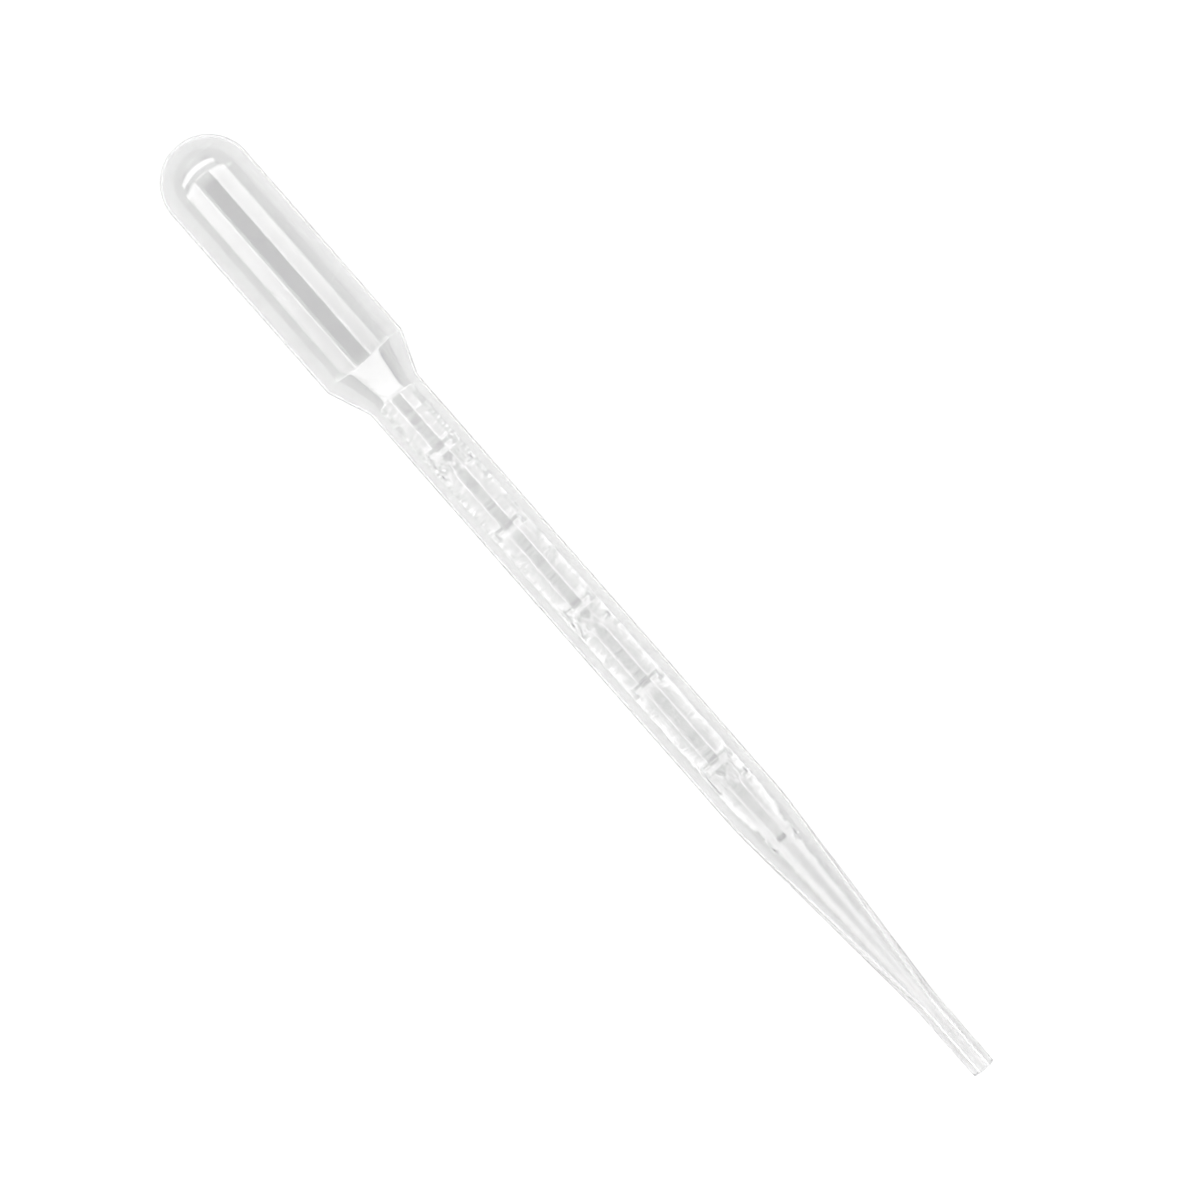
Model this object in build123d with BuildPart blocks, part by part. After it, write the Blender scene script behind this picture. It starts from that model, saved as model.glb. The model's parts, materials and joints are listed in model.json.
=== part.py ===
from build123d import *
from math import asin, atan2, cos, degrees, hypot, pi, sin, tan
import os

# Plastic dropper pipette, 3 mL, blown in one piece from low-density polyethylene.
#
# All sizes are in millimetres. The pipette lies on its side on the plane Z = 0, as it comes to rest:
# on the front edge of its bulb and the front end of its stem, with its graduations on top. +X runs from
# the bulb to the tip, and the origin is at the centre of the base of its bounding box.

os.makedirs("parts", exist_ok=True)

# Lengths along the pipette. The stem takes what the other lengths leave.
overall_length = 150.0
bulb_length = 34.9  # from the top of the dome to the front edge of the bulb
shoulder_length = 5.4
taper_length = 31.0
tip_length = 10.6

# Outside diameters
bulb_diameter = 12.0
stem_diameter = 7.6
tip_diameter = 3.0

# Walls. The more a stretch is blown out, the thinner it gets.
bulb_wall = 0.30
stem_wall = 0.26
tip_bore_diameter = 1.2

# Blends of the outside and of the cavity
bulb_edge_radius = 1.2
throat_radius = 2.0
draw_radius = 60.0  # where the stem runs into the taper
tip_blend_radius = 20.0  # where the taper runs into the tip
rim_radius = 0.25  # outer edge of the mouth
mouth_radius = 0.15  # inner edge of the mouth

# Graduations, raised on the upper side, one for each half millilitre. The wall is blown into the
# engraving of the mould, so each one is hollow behind.
division_volume = 500.0  # mm3
first_mark_from_tip = 37.5
mark_width = 1.6  # between its feet
mark_height = 0.14
mark_root = 0.10  # how deep its feet are sunk
mark_sweep = 68.0  # degrees around the stem

# Parting line of the mould, a fine ridge along both sides
seam_height = 0.05
seam_width = 0.20

# Sizes that follow
bulb_radius = bulb_diameter / 2
stem_radius = stem_diameter / 2
tip_radius = tip_diameter / 2
stem_bore_radius = stem_radius - stem_wall
tip_bore_radius = tip_bore_diameter / 2
stem_start = bulb_length + shoulder_length
tip_start = overall_length - tip_length
taper_start = tip_start - taper_length

# The wall is square to the shoulder too, so the cavity's corners stand ahead of the outer ones.
shoulder_angle = atan2(bulb_radius - stem_radius, shoulder_length)
cavity_bulb_end = bulb_length - bulb_wall * tan(shoulder_angle / 2)
cavity_stem_start = stem_start - stem_wall * tan(shoulder_angle / 2)

# One division of the scale is the length of bore that holds its volume.
mark_pitch = division_volume / (pi * stem_bore_radius**2)
first_mark = overall_length - first_mark_from_tip
mark_count = int((first_mark - stem_start - mark_width) / mark_pitch) + 1
mark_places = [first_mark - mark * mark_pitch for mark in range(mark_count)]

# The hollow behind a mark stops short of the mark's ends by the thickness of the wall.
hollow_sweep = mark_sweep - 2 * degrees(stem_wall / stem_radius)

# At rest the table touches two blends of the profile: the bulb's front edge, and the start of the taper.
# Each is an arc, and the table is their common tangent.
edge_centre_x = bulb_length - bulb_edge_radius * tan(shoulder_angle / 2)
edge_centre_drop = bulb_radius - bulb_edge_radius
taper_angle = atan2(stem_radius - tip_radius, taper_length)
draw_centre_x = taper_start - draw_radius * tan(taper_angle / 2)
draw_centre_drop = stem_radius - draw_radius
reach = draw_centre_x - edge_centre_x
fall = edge_centre_drop - draw_centre_drop
rest_tilt = atan2(fall, reach) - asin((draw_radius - bulb_edge_radius) / hypot(reach, fall))

# Height of the dome's top over the table, and its place along X that centres the pipette's length
dome_height = edge_centre_x * sin(rest_tilt) + edge_centre_drop * cos(rest_tilt) + bulb_edge_radius
rear_end = bulb_radius * (cos(rest_tilt) - 1)
front_end = (
    (overall_length - rim_radius) * cos(rest_tilt) + (tip_radius - rim_radius) * sin(rest_tilt) + rim_radius
)
dome_x = -(rear_end + front_end) / 2

# The section plane: local X runs down the pipette's axis from the dome, local Y points up across it.
section_plane = Plane(
    origin=(dome_x, 0, dome_height),
    x_dir=(cos(rest_tilt), 0, -sin(rest_tilt)),
    z_dir=(0, -1, 0),
)
pipette_axis = Axis(section_plane.origin, section_plane.x_dir)


def axial_plane(turn):
    """The section plane turned about the pipette's axis, in degrees."""
    across = section_plane.z_dir.rotate(Axis((0, 0, 0), pipette_axis.direction), turn)
    return Plane(section_plane.origin, section_plane.x_dir, across)


def wall_radius(x, stem, tip):
    """Radius of a wall at a distance from the dome's top, even on the stem and falling along the taper."""
    return stem + (tip - stem) * max(0, x - taper_start) / taper_length


def draw_mark(crest_x, stem, tip):
    """Draw the section of a graduation: a low arch that stands on a wall, with its feet sunk."""
    rear_x = crest_x - mark_width / 2
    front_x = crest_x + mark_width / 2
    rear_foot = (rear_x, wall_radius(rear_x, stem, tip) - mark_root)
    front_foot = (front_x, wall_radius(front_x, stem, tip) - mark_root)
    ThreePointArc(rear_foot, (crest_x, wall_radius(crest_x, stem, tip) + mark_height), front_foot)
    Line(front_foot, rear_foot)


def draw_outside(proud=0.0):
    """Draw half of the outline, closed along the axis, and standing proud of the outside by a little."""
    radius = bulb_radius + proud
    dome = CenterArc((bulb_radius, 0), radius, 180, -90)
    side = FilletPolyline(
        dome @ 1,
        (bulb_length, radius),
        (stem_start, stem_radius + proud),
        (taper_start, stem_radius + proud),
        (tip_start, tip_radius + proud),
        (overall_length, tip_radius + proud),
        (overall_length, 0),
        radius=(bulb_edge_radius, throat_radius, draw_radius, tip_blend_radius, rim_radius),
    )
    Line(side @ 1, dome @ 0)


with BuildPart() as pipette:
    # The blown shape, still solid
    with BuildSketch(section_plane):
        with BuildLine():
            draw_outside()
        make_face()
    revolve(axis=pipette_axis)

    # The parting line follows the outline around both sides and over the dome.
    with BuildSketch(axial_plane(90)):
        with BuildLine():
            draw_outside(proud=seam_height)
        make_face()
        mirror(about=Plane.XZ)
    extrude(amount=seam_width / 2, both=True)

    # The graduations are low rounded ribs that follow the slope of the wall they stand on.
    with BuildSketch(axial_plane(-mark_sweep / 2)):
        for mark_x in mark_places:
            with BuildLine():
                draw_mark(mark_x, stem_radius, tip_radius)
            make_face()
    revolve(axis=pipette_axis, revolution_arc=mark_sweep)

    # The cavity, from the dome to the open mouth
    with BuildSketch(section_plane):
        with BuildLine():
            cavity_dome = CenterArc((bulb_radius, 0), bulb_radius - bulb_wall, 180, -90)
            cavity_side = FilletPolyline(
                cavity_dome @ 1,
                (cavity_bulb_end, bulb_radius - bulb_wall),
                (cavity_stem_start, stem_bore_radius),
                (taper_start, stem_bore_radius),
                (tip_start, tip_bore_radius),
                (overall_length, tip_bore_radius),
                radius=(
                    bulb_edge_radius - bulb_wall,
                    throat_radius + stem_wall,
                    draw_radius - stem_wall,
                    tip_blend_radius,
                ),
            )
            Polyline(cavity_side @ 1, (overall_length, 0), cavity_dome @ 0)
        make_face()
    revolve(axis=pipette_axis, mode=Mode.SUBTRACT)

    # The hollows behind the graduations
    with BuildSketch(axial_plane(-hollow_sweep / 2)):
        for mark_x in mark_places:
            with BuildLine():
                draw_mark(mark_x, stem_bore_radius, tip_bore_radius)
            make_face()
    revolve(axis=pipette_axis, revolution_arc=hollow_sweep, mode=Mode.SUBTRACT)

    # The inner edge of the mouth is rounded, as the rim outside is.
    mouth = pipette.faces().sort_by(pipette_axis)[-1].inner_wires()[0]
    fillet(mouth.edges(), mouth_radius)

pipette.part.label = "pipette"
export_step(pipette.part, "parts/pipette.step")
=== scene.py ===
"""Plastic dropper pipette, blown in one piece from low-density polyethylene.

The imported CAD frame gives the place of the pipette's mouth and the direction of its axis. One
closed body with both faces of the thin wall is built along that axis, in metres, and stands for the
CAD solid. Lengths named here are in millimetres unless a name says otherwise.
"""

import json
import logging
from dataclasses import dataclass, field
from enum import Enum
from math import acos, atan2, ceil, cos, hypot, pi, radians, sin, tan
from typing import Any

import bpy
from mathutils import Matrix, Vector


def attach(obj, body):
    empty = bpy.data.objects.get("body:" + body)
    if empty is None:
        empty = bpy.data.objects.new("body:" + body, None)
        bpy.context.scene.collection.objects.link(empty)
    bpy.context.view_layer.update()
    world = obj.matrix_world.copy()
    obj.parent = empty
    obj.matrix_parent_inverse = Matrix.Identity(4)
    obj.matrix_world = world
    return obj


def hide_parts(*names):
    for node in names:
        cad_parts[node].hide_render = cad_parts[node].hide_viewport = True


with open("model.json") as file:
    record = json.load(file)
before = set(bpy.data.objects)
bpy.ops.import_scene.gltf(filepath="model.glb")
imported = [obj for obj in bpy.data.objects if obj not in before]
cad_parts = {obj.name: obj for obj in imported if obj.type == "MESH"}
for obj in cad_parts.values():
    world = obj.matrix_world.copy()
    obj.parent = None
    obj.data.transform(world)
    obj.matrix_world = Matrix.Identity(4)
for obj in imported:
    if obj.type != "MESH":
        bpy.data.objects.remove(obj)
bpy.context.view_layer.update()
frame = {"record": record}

LOG = logging.getLogger("dropper_pipette")
MM = 0.001  # metres in a millimetre
NODE = "pipette"
PIECE = "pipette_body"
BODY = "root"
MOUTH = "tip_mouth"
INNER_FACE = "inner_face"
MOST_BOUNCES = 24  # light crosses four faces of wall and turns many times inside it
MOST_GLOSS_BOUNCES = 12

Point = tuple[float, float]
Sockets = Any  # a node's inputs or outputs, looked up by name


class WallFace(Enum):
    """The two faces of the blown wall, with the value that marks a face's points."""

    OUTER = 0.0
    INNER = 1.0


class Division(Enum):
    """The graduations that carry a numeral, by their place in the row counted from the tip."""

    ONE = (1, "1ML")
    TWO = (3, "2ML")
    THREE = (5, "3ML")

    @property
    def place(self) -> int:
        """Number of divisions between this graduation and the first one."""
        return self.value[0]

    @property
    def text(self) -> str:
        """The characters raised beside this graduation."""
        return self.value[1]


def linear(hex_colour: str) -> tuple[float, float, float, float]:
    """Turn an sRGB hex colour into a linear one.

    Args:
        hex_colour: Six hex digits after a hash sign.

    Returns:
        Linear red, green and blue, and an alpha of one.
    """
    shares = [int(hex_colour[place : place + 2], 16) / 255 for place in (1, 3, 5)]
    red, green, blue = (
        share / 12.92 if share <= 0.04045 else ((share + 0.055) / 1.055) ** 2.4
        for share in shares
    )
    return red, green, blue, 1.0


def add_node(
    tree: bpy.types.NodeTree, kind: str, inputs: dict[Any, Any] | None = None, **settings: Any
) -> bpy.types.Node:
    """Add a node with its settings, values and links.

    Args:
        tree: The tree that the node goes into.
        kind: The node's type name.
        inputs: For each input, by name or number, a value, a socket, or a node whose first output
            in use is meant.
        **settings: The node's own properties.

    Returns:
        The new node.
    """
    node = tree.nodes.new(kind)
    for name, value in settings.items():
        setattr(node, name, value)
    for key, value in (inputs or {}).items():
        if isinstance(value, bpy.types.Node):
            value = next(socket for socket in value.outputs if socket.enabled)
        if isinstance(value, bpy.types.NodeSocket):
            tree.links.new(value, node.inputs[key])
        else:
            node.inputs[key].default_value = value
    return node


@dataclass(frozen=True)
class Axis:
    """The pipette's own axis, from the top of its dome to its mouth."""

    origin: Vector
    tilt: float

    @classmethod
    def from_frame(cls, length: float) -> "Axis":
        """Read the axis from the mount at the mouth.

        Args:
            length: Overall length of the pipette.

        Returns:
            The axis, with its origin at the top of the dome and its fall in radians.
        """
        mouth = next(mount for mount in frame["record"]["mounts"] if mount["name"] == MOUTH)
        along = Vector(mouth["axis"]).normalized()
        return cls(Vector(mouth["pos_m"]) - along * length * MM, atan2(-along.z, along.x))


@dataclass(frozen=True)
class Corner:
    """A corner of the wall's section, with the radius that rounds it."""

    x: float
    radius: float
    blend: float = 0.0


@dataclass
class Section:
    """Half of the wall's section: from the dome to the mouth outside, and back along the cavity."""

    overall_length: float = 150.0
    bulb_length: float = 34.9
    shoulder_length: float = 5.4
    taper_length: float = 31.0
    tip_length: float = 10.6
    bulb_radius: float = 6.0
    stem_radius: float = 3.8
    tip_radius: float = 1.5
    bulb_wall: float = 0.30
    stem_wall: float = 0.26
    bore_radius: float = 0.6
    bulb_edge_blend: float = 1.2
    throat_blend: float = 2.0
    draw_blend: float = 60.0
    tip_blend: float = 20.0
    rim_blend: float = 0.25
    mouth_blend: float = 0.15
    arc_step: float = radians(5.0)
    arc_least: int = 4
    dome_steps: int = 26

    @property
    def stem_start(self) -> float:
        """Where the shoulder runs into the stem."""
        return self.bulb_length + self.shoulder_length

    @property
    def tip_start(self) -> float:
        """Where the taper runs into the tip."""
        return self.overall_length - self.tip_length

    @property
    def taper_start(self) -> float:
        """Where the stem runs into the taper."""
        return self.tip_start - self.taper_length

    def corners(self) -> list[Corner]:
        """List the corners between the two domes.

        Returns:
            The corners in order, outside towards the mouth and inside back to the bulb.
        """
        slope = atan2(self.bulb_radius - self.stem_radius, self.shoulder_length)
        setback = tan(slope / 2)
        inner_stem = self.stem_radius - self.stem_wall
        return [
            Corner(self.bulb_length, self.bulb_radius, self.bulb_edge_blend),
            Corner(self.stem_start, self.stem_radius, self.throat_blend),
            Corner(self.taper_start, self.stem_radius, self.draw_blend),
            Corner(self.tip_start, self.tip_radius, self.tip_blend),
            Corner(self.overall_length, self.tip_radius, self.rim_blend),
            Corner(self.overall_length, self.bore_radius, self.mouth_blend),
            Corner(self.tip_start, self.bore_radius, self.tip_blend),
            Corner(self.taper_start, inner_stem, self.draw_blend - self.stem_wall),
            Corner(
                self.stem_start - self.stem_wall * setback,
                inner_stem,
                self.throat_blend + self.stem_wall,
            ),
            Corner(
                self.bulb_length - self.bulb_wall * setback,
                self.bulb_radius - self.bulb_wall,
                self.bulb_edge_blend - self.bulb_wall,
            ),
        ]

    def dome(self, radius: float) -> list[Point]:
        """Draw a quarter circle from the axis out to the side of the bulb.

        Args:
            radius: Radius of the dome's face.

        Returns:
            Points from the pole to the side, both included.
        """
        points = []
        for step in range(self.dome_steps + 1):
            turn = pi / 2 * step / self.dome_steps
            points.append((self.bulb_radius - radius * cos(turn), radius * sin(turn)))
        return points

    def rounded(self, before: Point, corner: Corner, after: Point) -> list[Point]:
        """Round one corner.

        Args:
            before: The point or corner that comes before.
            corner: The corner to round.
            after: The point or corner that comes after.

        Returns:
            Points along the arc, from one tangent point to the other.
        """
        back = (before[0] - corner.x, before[1] - corner.radius)
        ahead = (after[0] - corner.x, after[1] - corner.radius)
        back = tuple(value / hypot(*back) for value in back)
        ahead = tuple(value / hypot(*ahead) for value in ahead)
        opening = acos(max(-1.0, min(1.0, back[0] * ahead[0] + back[1] * ahead[1])))
        reach = corner.blend / tan(opening / 2)
        middle = (back[0] + ahead[0], back[1] + ahead[1])
        out = corner.blend / sin(opening / 2) / hypot(*middle)
        centre = (corner.x + middle[0] * out, corner.radius + middle[1] * out)
        start, end = (
            (corner.x + way[0] * reach - centre[0], corner.radius + way[1] * reach - centre[1])
            for way in (back, ahead)
        )
        turned = start[0] * end[1] - start[1] * end[0]
        kept = start[0] * end[0] + start[1] * end[1]
        sweep = atan2(turned, kept)
        count = max(self.arc_least, ceil(abs(sweep) / self.arc_step))
        points = []
        for step in range(count + 1):
            turn = sweep * step / count
            points.append(
                (
                    centre[0] + start[0] * cos(turn) - start[1] * sin(turn),
                    centre[1] + start[0] * sin(turn) + start[1] * cos(turn),
                )
            )
        return points

    def outline(self) -> list[tuple[float, float, WallFace]]:
        """Draw the whole section.

        Returns:
            Distance along the axis, radius and face of the wall, from pole to pole.
        """
        outer = self.dome(self.bulb_radius)
        inner = self.dome(self.bulb_radius - self.bulb_wall)[::-1]
        corners = self.corners()
        plain = [outer[-1], *((corner.x, corner.radius) for corner in corners), inner[0]]
        points = [(x, radius, WallFace.OUTER) for x, radius in outer]
        for place, corner in enumerate(corners):
            face = WallFace.OUTER if place < len(corners) // 2 else WallFace.INNER
            arc = self.rounded(plain[place], corner, plain[place + 2])
            points += [(x, radius, face) for x, radius in arc]
        return points + [(x, radius, WallFace.INNER) for x, radius in inner]


@dataclass
class Scale:
    """The graduations, their numerals and the parting line, which the mould leaves on the wall."""

    # The graduations lie half a millilitre apart, counted from the one nearest the tip.
    first_mark: float = 112.5
    mark_pitch: float = 12.7003
    mark_count: int = 6
    # Each is a ridge with a flat top and a straight flank on both sides, the rear one towards the
    # bulb. The cavity's face rises with it over a shorter sweep, so the ridge is hollow behind.
    mark_height: float = 0.14
    mark_flat: float = 0.30
    rear_slope: float = 0.25
    front_slope: float = 0.30
    mark_round: float = 0.012
    mark_half_sweep: float = radians(34.0)
    hollow_half_sweep: float = radians(30.08)
    mark_end_blend: float = 0.5
    # A numeral stands just ahead of its graduation, on the side of the tip.
    numeral_gap: float = 0.95
    numeral_height: float = 2.3
    numeral_width: float = 4.4
    numeral_relief: float = 0.13
    numeral_edge: float = 0.20
    # The parting line runs along both sides.
    seam_height: float = 0.03
    seam_width: float = 0.50
    # The wall is divided closely as far as this from a graduation's crest and round a numeral.
    fine_step: float = 0.13
    plain_step: float = 0.75
    mark_reach: float = 0.90
    numeral_margin: float = 0.30

    def mark_place(self, number: int) -> float:
        """Where a graduation's crest lies, counted from the one nearest the tip."""
        return self.first_mark - number * self.mark_pitch

    def step_at(self, x: float) -> float:
        """Choose how closely the wall is divided along the axis.

        Args:
            x: Distance from the top of the dome.

        Returns:
            The longest step that keeps the relief there crisp.
        """
        margin = self.numeral_margin
        for number in range(self.mark_count):
            if abs(x - self.mark_place(number)) < self.mark_reach:
                return self.fine_step
        for division in Division:
            start = self.mark_place(division.place) + self.numeral_gap
            if -margin < x - start < self.numeral_height + margin:
                return self.fine_step
        return self.plain_step

    def tree(self, sizes: Section) -> bpy.types.NodeTree:
        """Build the tree that raises the relief and wraps the flat wall round the axis.

        The wall comes in unrolled: X is the distance along the axis, Y the arc length on the stem
        and Z the distance from the axis. The relief is added there and the wall is wrapped last.

        Args:
            sizes: The section that the relief stands on.

        Returns:
            The finished Geometry Nodes tree.
        """
        tree = bpy.data.node_groups.new("moulded_relief", "GeometryNodeTree")
        tree.is_modifier = True
        for way in ("INPUT", "OUTPUT"):
            tree.interface.new_socket("Geometry", in_out=way, socket_type="NodeSocketGeometry")
        for name in self.inputs(sizes, Vector(), 0.0):
            kind = "NodeSocketVector" if name == "Origin" else "NodeSocketFloat"
            tree.interface.new_socket(name, in_out="INPUT", socket_type=kind)
        tree.interface.new_socket("Material", in_out="INPUT", socket_type="NodeSocketMaterial")
        given = add_node(tree, "NodeGroupInput").outputs

        place = add_node(
            tree, "ShaderNodeSeparateXYZ", {0: add_node(tree, "GeometryNodeInputPosition")}
        ).outputs
        inner = add_node(
            tree, "GeometryNodeInputNamedAttribute", {"Name": INNER_FACE}, data_type="FLOAT"
        )
        turn = add_node(
            tree, "ShaderNodeMath", {0: place["Y"], 1: given["Stem Radius"]}, operation="DIVIDE"
        )
        turned = add_node(tree, "ShaderNodeMath", {0: turn}, operation="ABSOLUTE")

        marks = self.raise_marks(tree, given, place, turned, inner)
        numerals = self.raise_numerals(tree, given, place)
        raised = add_node(tree, "ShaderNodeMath", {0: marks, 1: numerals}, operation="MAXIMUM")
        seam = self.raise_seam(tree, given, place, turned, inner)
        relief = add_node(tree, "ShaderNodeMath", {0: raised, 1: seam}, operation="ADD")
        radius = add_node(tree, "ShaderNodeMath", {0: place["Z"], 1: relief}, operation="ADD")

        level = add_node(tree, "ShaderNodeCombineXYZ", {"X": place["X"]})
        for side, operation in (("Y", "SINE"), ("Z", "COSINE")):
            share = add_node(tree, "ShaderNodeMath", {0: turn}, operation=operation)
            part = add_node(tree, "ShaderNodeMath", {0: radius, 1: share}, operation="MULTIPLY")
            tree.links.new(part.outputs[0], level.inputs[side])
        fallen = add_node(
            tree,
            "ShaderNodeVectorRotate",
            {"Vector": level, "Axis": (0.0, 1.0, 0.0), "Angle": given["Fall"]},
            rotation_type="AXIS_ANGLE",
        )
        placed = add_node(
            tree, "ShaderNodeVectorMath", {0: fallen, 1: given["Origin"]}, operation="ADD"
        )
        wrapped = add_node(
            tree, "GeometryNodeSetPosition", {"Geometry": given["Geometry"], "Position": placed}
        )
        smooth = add_node(tree, "GeometryNodeSetShadeSmooth", {"Geometry": wrapped})
        real = add_node(tree, "GeometryNodeRealizeInstances", {"Geometry": smooth})
        dressed = add_node(
            tree, "GeometryNodeSetMaterial", {"Geometry": real, "Material": given["Material"]}
        )
        add_node(tree, "NodeGroupOutput", {"Geometry": dressed})
        return tree

    def raise_marks(
        self,
        tree: bpy.types.NodeTree,
        given: Sockets,
        place: Sockets,
        turned: bpy.types.Node,
        inner: bpy.types.Node,
    ) -> bpy.types.Node:
        """Raise the same low, blunt ridge at every graduation.

        Args:
            tree: The tree to add to.
            given: The tree's inputs.
            place: Position on the unrolled wall, one socket for each axis.
            turned: Angle from the top, without its sign.
            inner: One on the cavity's face of the wall and zero outside.

        Returns:
            The node whose output is the height in metres.
        """
        start = add_node(
            tree, "ShaderNodeMath", {0: place["X"], 1: given["Last Mark"]}, operation="SUBTRACT"
        )
        half = add_node(
            tree, "ShaderNodeMath", {0: given["Mark Pitch"], 1: 0.5}, operation="MULTIPLY"
        )
        back = add_node(tree, "ShaderNodeMath", {0: half, 1: -1.0}, operation="MULTIPLY")
        apart = add_node(tree, "ShaderNodeMath", {0: start, 1: half, 2: back}, operation="WRAP")
        after = add_node(tree, "ShaderNodeMath", {0: start, 1: back}, operation="GREATER_THAN")
        beyond = add_node(
            tree, "ShaderNodeMath", {0: place["X"], 1: given["First Mark"]}, operation="SUBTRACT"
        )
        before = add_node(tree, "ShaderNodeMath", {0: beyond, 1: half}, operation="LESS_THAN")
        reach = add_node(tree, "ShaderNodeMath", {0: apart}, operation="ABSOLUTE")
        reach = add_node(
            tree, "ShaderNodeMath", {0: reach, 1: given["Mark Flat"]}, operation="SUBTRACT"
        )
        reach = add_node(tree, "ShaderNodeMath", {0: reach, 1: 0.0}, operation="MAXIMUM")
        tipward = add_node(tree, "ShaderNodeMath", {0: apart, 1: 0.0}, operation="GREATER_THAN")
        slope = add_node(
            tree,
            "ShaderNodeMix",
            {"Factor": tipward, "A": given["Rear Slope"], "B": given["Front Slope"]},
            data_type="FLOAT",
        )
        flank = add_node(tree, "ShaderNodeMath", {0: reach, 1: slope}, operation="MULTIPLY")
        # The root of the summed squares blunts the edge between the flat top and the flank.
        flank = add_node(tree, "ShaderNodeMath", {0: flank, 1: 2.0}, operation="POWER")
        blunt = add_node(
            tree, "ShaderNodeMath", {0: given["Mark Round"], 1: 2.0}, operation="POWER"
        )
        fall = add_node(tree, "ShaderNodeMath", {0: flank, 1: blunt}, operation="ADD")
        fall = add_node(tree, "ShaderNodeMath", {0: fall}, operation="SQRT")
        top = add_node(
            tree,
            "ShaderNodeMath",
            {0: given["Mark Height"], 1: given["Mark Round"]},
            operation="ADD",
        )
        height = add_node(tree, "ShaderNodeMath", {0: top, 1: fall}, operation="SUBTRACT")
        height = add_node(tree, "ShaderNodeMath", {0: height, 1: 0.0}, operation="MAXIMUM")
        sweep = add_node(
            tree,
            "ShaderNodeMix",
            {"Factor": inner, "A": given["Mark Sweep"], "B": given["Hollow Sweep"]},
            data_type="FLOAT",
        )
        ends = add_node(tree, "ShaderNodeMath", {0: given["End Blend"], 1: sweep}, operation="ADD")
        share = add_node(
            tree,
            "ShaderNodeMapRange",
            {"Value": turned, "From Min": sweep, "From Max": ends, "To Min": 1.0, "To Max": 0.0},
            interpolation_type="SMOOTHSTEP",
        )
        for limit in (share, after, before):
            height = add_node(tree, "ShaderNodeMath", {0: height, 1: limit}, operation="MULTIPLY")
        return height

    def raise_numerals(
        self, tree: bpy.types.NodeTree, given: Sockets, place: Sockets
    ) -> bpy.types.Node:
        """Raise the numerals, whose flat outlines are laid on the unrolled stem.

        Args:
            tree: The tree to add to.
            given: The tree's inputs.
            place: Position on the unrolled wall, one socket for each axis.

        Returns:
            The node whose output is the height in metres.
        """
        letters = []
        font = bpy.data.fonts.load("<builtin>")
        for division in Division:
            written = add_node(
                tree, "GeometryNodeStringToCurves", {"String": division.text}, font=font
            )
            real = add_node(tree, "GeometryNodeRealizeInstances", {"Geometry": written})
            filled = add_node(tree, "GeometryNodeFillCurve", {"Curve": real})
            # The outline's own box gives each point's share of the numeral's width and height.
            extent = add_node(tree, "GeometryNodeBoundBox", {"Geometry": filled}).outputs
            offset = add_node(
                tree,
                "ShaderNodeVectorMath",
                {0: add_node(tree, "GeometryNodeInputPosition"), 1: extent["Min"]},
                operation="SUBTRACT",
            )
            size = add_node(
                tree,
                "ShaderNodeVectorMath",
                {0: extent["Max"], 1: extent["Min"]},
                operation="SUBTRACT",
            )
            share = add_node(tree, "ShaderNodeVectorMath", {0: offset, 1: size}, operation="DIVIDE")
            shares = add_node(tree, "ShaderNodeSeparateXYZ", {0: share}).outputs
            top = add_node(
                tree,
                "ShaderNodeMath",
                {0: given["Mark Pitch"], 1: -float(division.place), 2: given["First Numeral"]},
                operation="MULTIPLY_ADD",
            )
            down = add_node(tree, "ShaderNodeMath", {0: 1.0, 1: shares["Y"]}, operation="SUBTRACT")
            along = add_node(
                tree,
                "ShaderNodeMath",
                {0: down, 1: given["Numeral Height"], 2: top},
                operation="MULTIPLY_ADD",
            )
            centred = add_node(
                tree, "ShaderNodeMath", {0: shares["X"], 1: 0.5}, operation="SUBTRACT"
            )
            around = add_node(
                tree,
                "ShaderNodeMath",
                {0: centred, 1: given["Numeral Width"]},
                operation="MULTIPLY",
            )
            spot = add_node(tree, "ShaderNodeCombineXYZ", {"X": along, "Y": around})
            letters.append(
                add_node(tree, "GeometryNodeSetPosition", {"Geometry": filled, "Position": spot})
            )
        joined = add_node(tree, "GeometryNodeJoinGeometry")
        for letter in letters:
            tree.links.new(letter.outputs["Geometry"], joined.inputs["Geometry"])
        here = add_node(tree, "ShaderNodeCombineXYZ", {"X": place["X"], "Y": place["Y"]})
        near = add_node(
            tree,
            "GeometryNodeProximity",
            {"Geometry": joined, "Sample Position": here},
            target_element="FACES",
        )
        return add_node(
            tree,
            "ShaderNodeMapRange",
            {
                "Value": near.outputs["Distance"],
                "From Min": 0.0,
                "From Max": given["Numeral Edge"],
                "To Min": given["Numeral Relief"],
                "To Max": 0.0,
            },
            interpolation_type="SMOOTHSTEP",
        )

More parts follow.
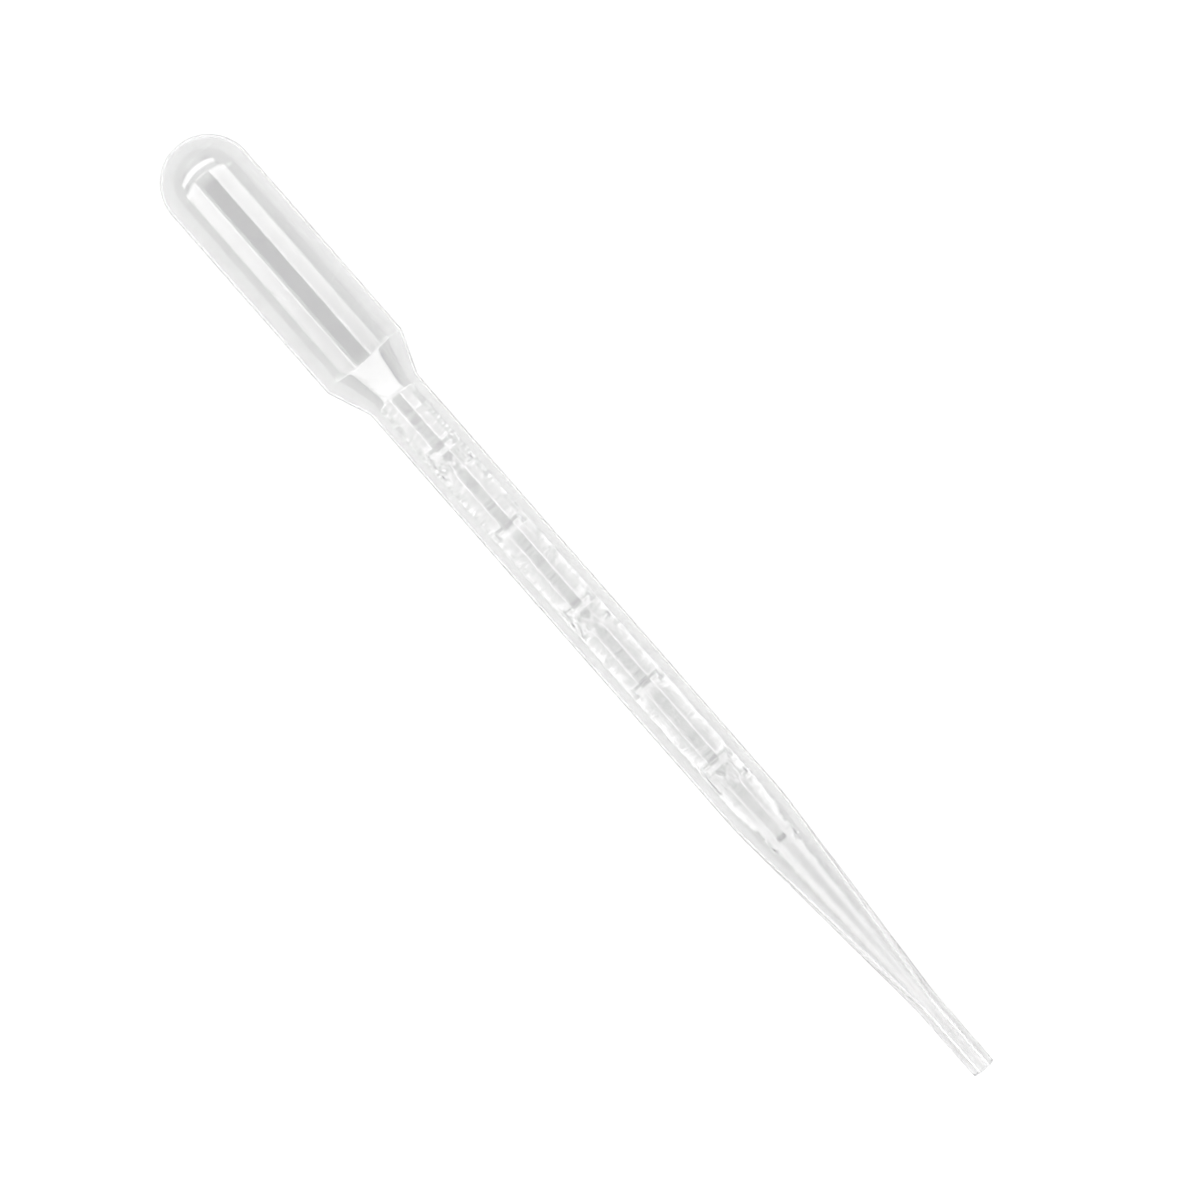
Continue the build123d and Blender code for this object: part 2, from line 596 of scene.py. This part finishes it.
    def raise_seam(
        self,
        tree: bpy.types.NodeTree,
        given: Sockets,
        place: Sockets,
        turned: bpy.types.Node,
        inner: bpy.types.Node,
    ) -> bpy.types.Node:
        """Raise the fine ridge where the halves of the mould met, outside only.

        Args:
            tree: The tree to add to.
            given: The tree's inputs.
            place: Position on the unrolled wall, one socket for each axis.
            turned: Angle from the top, without its sign.
            inner: One on the cavity's face of the wall and zero outside.

        Returns:
            The node whose output is the height in metres.
        """
        off = add_node(tree, "ShaderNodeMath", {0: turned, 1: pi / 2}, operation="SUBTRACT")
        off = add_node(tree, "ShaderNodeMath", {0: off}, operation="ABSOLUTE")
        off = add_node(tree, "ShaderNodeMath", {0: off, 1: place["Z"]}, operation="MULTIPLY")
        ridge = add_node(
            tree,
            "ShaderNodeMapRange",
            {
                "Value": off,
                "From Min": 0.0,
                "From Max": given["Seam Reach"],
                "To Min": given["Seam Height"],
                "To Max": 0.0,
            },
        )
        outside = add_node(tree, "ShaderNodeMath", {0: 1.0, 1: inner}, operation="SUBTRACT")
        clear = add_node(
            tree,
            "ShaderNodeMath",
            {0: place["Z"], 1: given["Seam Start"]},
            operation="GREATER_THAN",
        )
        for limit in (outside, clear):
            ridge = add_node(tree, "ShaderNodeMath", {0: ridge, 1: limit}, operation="MULTIPLY")
        return ridge

    def inputs(self, sizes: Section, origin: Vector, fall: float) -> dict[str, Any]:
        """List the tree's inputs with their values, in metres and radians.

        Args:
            sizes: The section that the relief stands on.
            origin: The top of the dome.
            fall: How far the axis falls towards the tip.

        Returns:
            A value for each named input.
        """
        end_blend = self.mark_end_blend / sizes.stem_radius
        return {
            "Stem Radius": sizes.stem_radius * MM,
            "First Mark": self.first_mark * MM,
            "Last Mark": self.mark_place(self.mark_count - 1) * MM,
            "Mark Pitch": self.mark_pitch * MM,
            "Mark Height": self.mark_height * MM,
            "Mark Flat": self.mark_flat / 2 * MM,
            "Rear Slope": self.rear_slope,
            "Front Slope": self.front_slope,
            "Mark Round": self.mark_round * MM,
            "Mark Sweep": self.mark_half_sweep - end_blend / 2,
            "Hollow Sweep": self.hollow_half_sweep - end_blend / 2,
            "End Blend": end_blend,
            "First Numeral": (self.first_mark + self.numeral_gap) * MM,
            "Numeral Height": self.numeral_height * MM,
            "Numeral Width": self.numeral_width * MM,
            "Numeral Relief": self.numeral_relief * MM,
            "Numeral Edge": self.numeral_edge * MM,
            "Seam Height": self.seam_height * MM,
            "Seam Reach": self.seam_width / 2 * MM,
            "Seam Start": sizes.bore_radius * MM,
            "Fall": fall,
            "Origin": origin,
        }


@dataclass(frozen=True)
class NaturalPolyethylene:
    """Natural low-density polyethylene, as blown.

    It has no pigment. Its own crystals scatter a little light, so it looks clear but hazy, with a
    soft satin gloss where the mould touched it and fine waves where the tube froze as it was blown.
    """

    name: str = "natural_ldpe_blow_moulded"
    colour: str = "#F1F1F1"
    cloud: str = "#EDEDED"
    ior: float = 1.51
    transmission: float = 0.98
    roughness_low: float = 0.035
    roughness_high: float = 0.065
    # What a metre of the plastic takes from the light. It greys a wall that is seen edge on.
    depth_colour: str = "#E0E0E0"
    depth_density: float = 290.0
    # The mould's blasted finish is under a tenth of a millimetre. It is drawn coarser, to show.
    grain: float = 0.32
    grain_height: float = 0.008
    grain_strength: float = 0.5
    grain_span: Point = (0.3, 0.7)
    # The waves lie a few millimetres apart along the axis and run on further round the wall.
    wave: float = 2.6
    wave_height: float = 0.06
    wave_stretch: tuple[float, float, float] = (1.0, 0.3, 0.3)
    # They are weak on the bulb and come to their full height between these places on the CAD's X.
    bulb_wave_share: float = 0.1
    wave_rise: Point = (-40.0, -32.0)
    # The wall is thickest at the tip, where the plastic is at its haziest.
    tip_haze: float = 0.12
    haze_rise: Point = (30.0, 66.0)

    def build(self) -> bpy.types.Material:
        """Build the material.

        Returns:
            The material, with its patterns on Object coordinates.
        """
        material = bpy.data.materials.new(self.name)
        material.use_nodes = True
        tree = material.node_tree
        tree.nodes.clear()
        place = add_node(tree, "ShaderNodeTexCoord").outputs["Object"]
        spread = add_node(
            tree, "ShaderNodeMapping", {"Vector": place, "Scale": self.wave_stretch}
        )
        cloud = add_node(
            tree,
            "ShaderNodeTexNoise",
            {"Vector": spread, "Scale": 1 / (self.wave * MM), "Detail": 3.0, "Roughness": 0.55},
        )
        grain = add_node(
            tree,
            "ShaderNodeTexNoise",
            {"Vector": place, "Scale": 1 / (self.grain * MM), "Detail": 2.0, "Roughness": 0.6},
        )
        tint = add_node(
            tree,
            "ShaderNodeMix",
            {"Factor": cloud, 6: linear(self.colour), 7: linear(self.cloud)},
            data_type="RGBA",
        )
        gloss = add_node(
            tree,
            "ShaderNodeMapRange",
            {
                "Value": grain,
                "From Min": self.grain_span[0],
                "From Max": self.grain_span[1],
                "To Min": self.roughness_low,
                "To Max": self.roughness_high,
            },
        )
        station = add_node(tree, "ShaderNodeSeparateXYZ", {0: place}).outputs["X"]
        calm = add_node(
            tree,
            "ShaderNodeMapRange",
            {
                "Value": station,
                "From Min": self.wave_rise[0] * MM,
                "From Max": self.wave_rise[1] * MM,
                "To Min": self.bulb_wave_share,
                "To Max": 1.0,
            },
        )
        ripple = add_node(tree, "ShaderNodeMath", {0: cloud, 1: calm}, operation="MULTIPLY")
        thick = add_node(
            tree,
            "ShaderNodeMapRange",
            {
                "Value": station,
                "From Min": self.haze_rise[0] * MM,
                "From Max": self.haze_rise[1] * MM,
                "To Min": 0.0,
                "To Max": self.tip_haze,
            },
        )
        haze = add_node(tree, "ShaderNodeMath", {0: gloss, 1: thick}, operation="ADD")
        waves = add_node(
            tree,
            "ShaderNodeBump",
            {"Height": ripple, "Strength": 1.0, "Distance": self.wave_height * MM},
        )
        skin = add_node(
            tree,
            "ShaderNodeBump",
            {
                "Height": grain,
                "Strength": self.grain_strength,
                "Distance": self.grain_height * MM,
                "Normal": waves,
            },
        )
        shader = add_node(
            tree,
            "ShaderNodeBsdfPrincipled",
            {
                "Base Color": tint,
                "Roughness": haze,
                "IOR": self.ior,
                "Transmission Weight": self.transmission,
                "Normal": skin,
            },
        )
        depth = add_node(
            tree,
            "ShaderNodeVolumeAbsorption",
            {"Color": linear(self.depth_colour), "Density": self.depth_density},
        )
        add_node(tree, "ShaderNodeOutputMaterial", {"Surface": shader, "Volume": depth})
        return material


@dataclass
class BlownBody:
    """The pipette: bulb, stem and tip in one thin wall, closed at the dome, open at the mouth."""

    section: Section = field(default_factory=Section)
    scale: Scale = field(default_factory=Scale)
    finish: NaturalPolyethylene = field(default_factory=NaturalPolyethylene)
    # The way round is divided, in degrees from the top, evenly over the scale, then in steps that
    # close in on the parting line, and evenly again underneath.
    scale_turn: float = 1.9
    scale_turns: int = 22
    side_turns: tuple[float, ...] = (
        46.0, 52.0, 58.0, 64.0, 70.0, 76.0, 81.0, 85.0, 88.0, 90.0, 92.0, 95.0, 99.0,
    )
    under_start: float = 105.0
    under_turn: float = 6.25
    under_turns: int = 12
    # Points closer than this are one, and a last step shorter than this share joins the one before.
    same_point: float = 1e-4
    short_share: float = 0.4

    def stations(self) -> list[tuple[float, float, WallFace]]:
        """Divide the section as closely as the relief on it needs.

        Returns:
            Distance along the axis, radius and face, from pole to pole.
        """
        outline = self.section.outline()
        points = [outline[0]]
        for x, radius, face in outline[1:]:
            last_x, last_radius, _ = points[-1]
            run = hypot(x - last_x, radius - last_radius)
            if run < self.same_point:
                continue
            end = run - self.short_share * self.scale.step_at(x)
            done = self.scale.step_at(last_x)
            while done < end:
                share = done / run
                across = last_radius + (radius - last_radius) * share
                points.append((last_x + (x - last_x) * share, across, face))
                done += self.scale.step_at(last_x + (x - last_x) * done / run)
            points.append((x, radius, face))
        return points

    def columns(self) -> list[float]:
        """Divide the way round: closely over the scale and beside the parting lines.

        Returns:
            Angles from the top, rising from minus half a turn.
        """
        side = [index * self.scale_turn for index in range(1, self.scale_turns + 1)]
        side += self.side_turns
        side += [self.under_start + self.under_turn * index for index in range(self.under_turns)]
        turns = [-angle for angle in reversed(side)] + [0.0] + side + [180.0]
        return [radians(turn) for turn in turns]

    def unrolled(self) -> bpy.types.Mesh:
        """Build the wall flat, as the tree expects it.

        Returns:
            The mesh, with the attribute that marks the cavity's face.
        """
        stations, columns = self.stations(), self.columns()
        first, last = stations[0], stations[-1]
        rows = stations[1:-1]
        stem = self.section.stem_radius
        verts = [(first[0] * MM, 0.0, 0.0)]
        verts += [
            (x * MM, turn * stem * MM, radius * MM) for x, radius, _ in rows for turn in columns
        ]
        verts.append((last[0] * MM, 0.0, 0.0))
        faces: list[tuple[int, ...]] = []
        wide, end = len(columns), len(verts) - 1
        for column in range(wide):
            beside = (column + 1) % wide
            faces.append((0, 1 + column, 1 + beside))
            for row in range(len(rows) - 1):
                here, ahead = 1 + row * wide, 1 + (row + 1) * wide
                faces.append((here + column, ahead + column, ahead + beside, here + beside))
            edge = 1 + (len(rows) - 1) * wide
            faces.append((end, edge + beside, edge + column))
        mesh = bpy.data.meshes.new("pipette_wall")
        mesh.from_pydata(verts, [], faces)
        marks = [WallFace.OUTER.value]
        marks += [face.value for _, _, face in rows for _ in columns]
        marks.append(WallFace.INNER.value)
        mesh.attributes.new(INNER_FACE, "FLOAT", "POINT").data.foreach_set("value", marks)
        return mesh

    def build(self, axis: Axis) -> bpy.types.Object:
        """Wrap the wall round its axis with its relief, and dress it.

        Args:
            axis: Where the pipette lies.

        Returns:
            The finished piece.
        """
        flat = bpy.data.objects.new("pipette_flat", self.unrolled())
        bpy.context.scene.collection.objects.link(flat)
        tree = self.scale.tree(self.section)
        values = self.scale.inputs(self.section, axis.origin, axis.tilt)
        values["Material"] = self.finish.build()
        modifier = flat.modifiers.new("moulded_relief", "NODES")
        modifier.node_group = tree
        for socket in tree.interface.items_tree:
            if socket.in_out == "INPUT" and socket.name in values:
                modifier[socket.identifier] = values[socket.name]
        evaluated = flat.evaluated_get(bpy.context.evaluated_depsgraph_get())
        mesh = bpy.data.meshes.new_from_object(evaluated)
        mesh.name = PIECE
        bpy.data.objects.remove(flat)
        mesh.attributes.remove(mesh.attributes[INNER_FACE])
        piece = bpy.data.objects.new(PIECE, mesh)
        bpy.context.scene.collection.objects.link(piece)
        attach(piece, BODY)
        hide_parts(NODE)
        LOG.info("%s: %d faces", piece.name, len(mesh.polygons))
        return piece


@dataclass(frozen=True)
class Card:
    """A lit part of the tent, bounded by angles from straight up, in degrees.

    Angles along the axis rise towards the tip. Angles across count the same to both sides, so a low
    bound under zero takes in the middle. The edge is the width over which the light fades in.
    """

    along: Point
    across: Point
    radiance: float
    edge: float = 2.0


@dataclass(frozen=True)
class Rise:
    """A part of the slot, between two angles along the axis, over which its light grows."""

    start: float
    end: float
    gain: float


@dataclass
class LightTent:
    """A white tent seen as the surroundings: lit cards round a slot straight overhead.

    The slot is dark. The smooth wall reflects it as the soft dark line along the top.
    """

    light: str = "#FFFFFF"
    backdrop_radiance: float = 1.05
    dark_radiance: float = 0.03
    slot_rises: tuple[Rise, ...] = (
        Rise(-6.0, 1.2, 0.40),
        Rise(1.2, 2.4, 0.85),
        Rise(2.4, 15.0, 2.20),
    )
    slot_across: float = 50.0
    skew: float = 2.5
    # Directions under this height are read as level, so that the angles stop at the horizon.
    least_height: float = 0.001
    cards: tuple[Card, ...] = (
        # thin bright lips round the slot
        Card((-20.0, 13.0), (21.5, 26.0), 4.6, 1.0),
        Card((-22.5, -20.0), (-1.0, 15.0), 4.2, 1.0),
        # side panels: one seen in the bulb, one in the stem, one in the tip
        Card((-20.0, 1.4), (25.0, 61.0), 3.8, 8.0),
        Card((1.4, 12.0), (26.0, 91.0), 1.75, 1.0),
        Card((6.2, 12.0), (40.0, 91.0), 3.2, 1.0),
        # bright sides of the slot's wide end, seen in the taper
        Card((12.0, 20.0), (46.0, 91.0), 5.7, 2.0),
        # end panels, seen in the dome and in the shoulder
        Card((-50.0, -36.0), (-1.0, 56.0), 4.4, 2.0),
        Card((18.5, 52.0), (-1.0, 52.0), 3.7, 2.0),
        # the tent's own cloth, towards the sheet
        Card((-90.0, 90.0), (54.0, 91.0), 0.65, 10.0),
        Card((-91.0, -60.0), (-1.0, 56.0), 0.9, 6.0),
    )

    def slot_light(
        self, tree: bpy.types.NodeTree, along: bpy.types.Node, across: bpy.types.Node
    ) -> bpy.types.Node:
        """Give the slot its light, which grows towards the tip.

        Args:
            tree: The tree to add to.
            along: Angle along the axis, in degrees.
            across: Angle across the axis, in degrees and without its sign.

        Returns:
            The node whose output is the radiance, everywhere outside the slot the dark one.
        """
        glow: Any = self.dark_radiance
        for rise in self.slot_rises:
            grown = add_node(
                tree,
                "ShaderNodeMapRange",
                {
                    "Value": along,
                    "From Min": rise.start,
                    "From Max": rise.end,
                    "To Min": 0.0,
                    "To Max": rise.gain,
                },
            )
            glow = add_node(tree, "ShaderNodeMath", {0: glow, 1: grown}, operation="ADD")
        inside = add_node(
            tree, "ShaderNodeMath", {0: across, 1: self.slot_across}, operation="LESS_THAN"
        )
        kept = add_node(tree, "ShaderNodeMath", {0: glow, 1: inside}, operation="MULTIPLY")
        return add_node(
            tree, "ShaderNodeMath", {0: kept, 1: self.dark_radiance}, operation="MAXIMUM"
        )

    def build(self) -> bpy.types.World:
        """Build the surroundings as light that depends on the direction only.

        Returns:
            The world, already in the scene.
        """
        world = bpy.data.worlds.new("light_tent")
        world.use_nodes = True
        tree = world.node_tree
        tree.nodes.clear()
        direction = add_node(tree, "ShaderNodeTexCoord").outputs["Generated"]
        way = add_node(tree, "ShaderNodeSeparateXYZ", {0: direction}).outputs
        height = add_node(
            tree, "ShaderNodeMath", {0: way["Z"], 1: self.least_height}, operation="MAXIMUM"
        )
        angles = []
        for side in ("X", "Y"):
            angle = add_node(tree, "ShaderNodeMath", {0: way[side], 1: height}, operation="ARCTAN2")
            angles.append(add_node(tree, "ShaderNodeMath", {0: angle}, operation="DEGREES"))
        along, across = angles
        across = add_node(tree, "ShaderNodeMath", {0: across, 1: self.skew}, operation="ADD")
        across = add_node(tree, "ShaderNodeMath", {0: across}, operation="ABSOLUTE")
        light = self.slot_light(tree, along, across)
        for card in self.cards:
            depths = [
                add_node(tree, "ShaderNodeMath", {0: upper, 1: lower}, operation="SUBTRACT")
                for angle, (low, high) in ((along, card.along), (across, card.across))
                for upper, lower in ((angle, low), (high, angle))
            ]
            depth = depths[0]
            for other in depths[1:]:
                depth = add_node(tree, "ShaderNodeMath", {0: depth, 1: other}, operation="MINIMUM")
            level = add_node(
                tree,
                "ShaderNodeMapRange",
                {
                    "Value": depth,
                    "From Min": -card.edge / 2,
                    "From Max": card.edge / 2,
                    "To Min": 0.0,
                    "To Max": card.radiance,
                },
                interpolation_type="SMOOTHSTEP",
            )
            light = add_node(tree, "ShaderNodeMath", {0: light, 1: level}, operation="MAXIMUM")
        lit, plain = (
            add_node(
                tree,
                "ShaderNodeBackground",
                {"Color": linear(self.light), "Strength": strength},
            )
            for strength in (light, self.backdrop_radiance)
        )
        view = add_node(tree, "ShaderNodeLightPath").outputs["Is Camera Ray"]
        mixed = add_node(tree, "ShaderNodeMixShader", {0: view, 1: lit, 2: plain})
        add_node(tree, "ShaderNodeOutputWorld", {"Surface": mixed})
        bpy.context.scene.world = world
        LOG.info("%s: %d cards", world.name, len(self.cards))
        return world


@dataclass(frozen=True)
class MattePaper:
    """Heavy pale matte paper, which spreads light evenly and shows no gloss of its own."""

    name: str = "pale_matte_paper"
    colour: str = "#CCCCCC"
    fibre: str = "#C8C8C8"
    fibre_size: float = 1.5
    roughness: float = 0.9

    def build(self) -> bpy.types.Material:
        """Build the material.

        Returns:
            The material, with its fibres on Object coordinates.
        """
        material = bpy.data.materials.new(self.name)
        material.use_nodes = True
        tree = material.node_tree
        tree.nodes.clear()
        place = add_node(tree, "ShaderNodeTexCoord").outputs["Object"]
        fibres = add_node(
            tree,
            "ShaderNodeTexNoise",
            {"Vector": place, "Scale": 1 / (self.fibre_size * MM), "Detail": 2.0},
        )
        tint = add_node(
            tree,
            "ShaderNodeMix",
            {"Factor": fibres, 6: linear(self.colour), 7: linear(self.fibre)},
            data_type="RGBA",
        )
        shader = add_node(
            tree, "ShaderNodeBsdfPrincipled", {"Base Color": tint, "Roughness": self.roughness}
        )
        add_node(tree, "ShaderNodeOutputMaterial", {"Surface": shader})
        return material


@dataclass
class Table:
    """The sheet that the pipette lies on, wide enough to reach the horizon."""

    reach_m: float = 30.0
    # The sheet lies a hair below the pipette, so that the two never share a face.
    drop: float = 0.01
    finish: MattePaper = field(default_factory=MattePaper)

    def build(self) -> bpy.types.Object:
        """Build the sheet.

        Returns:
            The sheet.
        """
        far, low = self.reach_m, -self.drop * MM
        verts = [(-far, -far, low), (far, -far, low), (far, far, low), (-far, far, low)]
        mesh = bpy.data.meshes.new("table_sheet")
        mesh.from_pydata(verts, [], [(0, 1, 2, 3)])
        mesh.materials.append(self.finish.build())
        sheet = bpy.data.objects.new("table_sheet", mesh)
        bpy.context.scene.collection.objects.link(sheet)
        LOG.info("%s: %.0f m across", sheet.name, 2 * far)
        return sheet


@dataclass
class Overhead:
    """The camera, straight above the pipette, which crosses the view from corner to corner."""

    height: float = 1000.0
    field_of_view: float = radians(8.43)
    turn: float = radians(48.79)
    x: float = 0.70
    y: float = 2.4
    nearest_m: float = 0.01
    farthest_m: float = 100.0

    def build(self) -> bpy.types.Object:
        """Build the camera and make it the scene's own.

        Returns:
            The camera.
        """
        lens = bpy.data.cameras.new("overhead")
        lens.angle = self.field_of_view
        lens.clip_start, lens.clip_end = self.nearest_m, self.farthest_m
        camera = bpy.data.objects.new("overhead", lens)
        camera.location = (self.x * MM, self.y * MM, self.height * MM)
        camera.rotation_euler = (0.0, 0.0, self.turn)
        bpy.context.scene.collection.objects.link(camera)
        bpy.context.scene.camera = camera
        LOG.info("%s: %.0f mm up", camera.name, self.height)
        return camera


def main() -> None:
    """Build the camera, the tent, the table and the pipette."""
    logging.basicConfig(level=logging.INFO, format="%(name)s: %(message)s")
    bpy.context.scene.view_settings.view_transform = "Standard"
    # Light that passes through the wall is neither blurred nor cut short on its way to the sheet.
    paths = bpy.context.scene.cycles
    paths.blur_glossy = 0.0
    paths.max_bounces = paths.transmission_bounces = MOST_BOUNCES
    paths.glossy_bounces = MOST_GLOSS_BOUNCES
    Overhead().build()
    LightTent().build()
    Table().build()
    body = BlownBody()
    body.build(Axis.from_frame(body.section.overall_length))


if __name__ == "__main__":
    main()
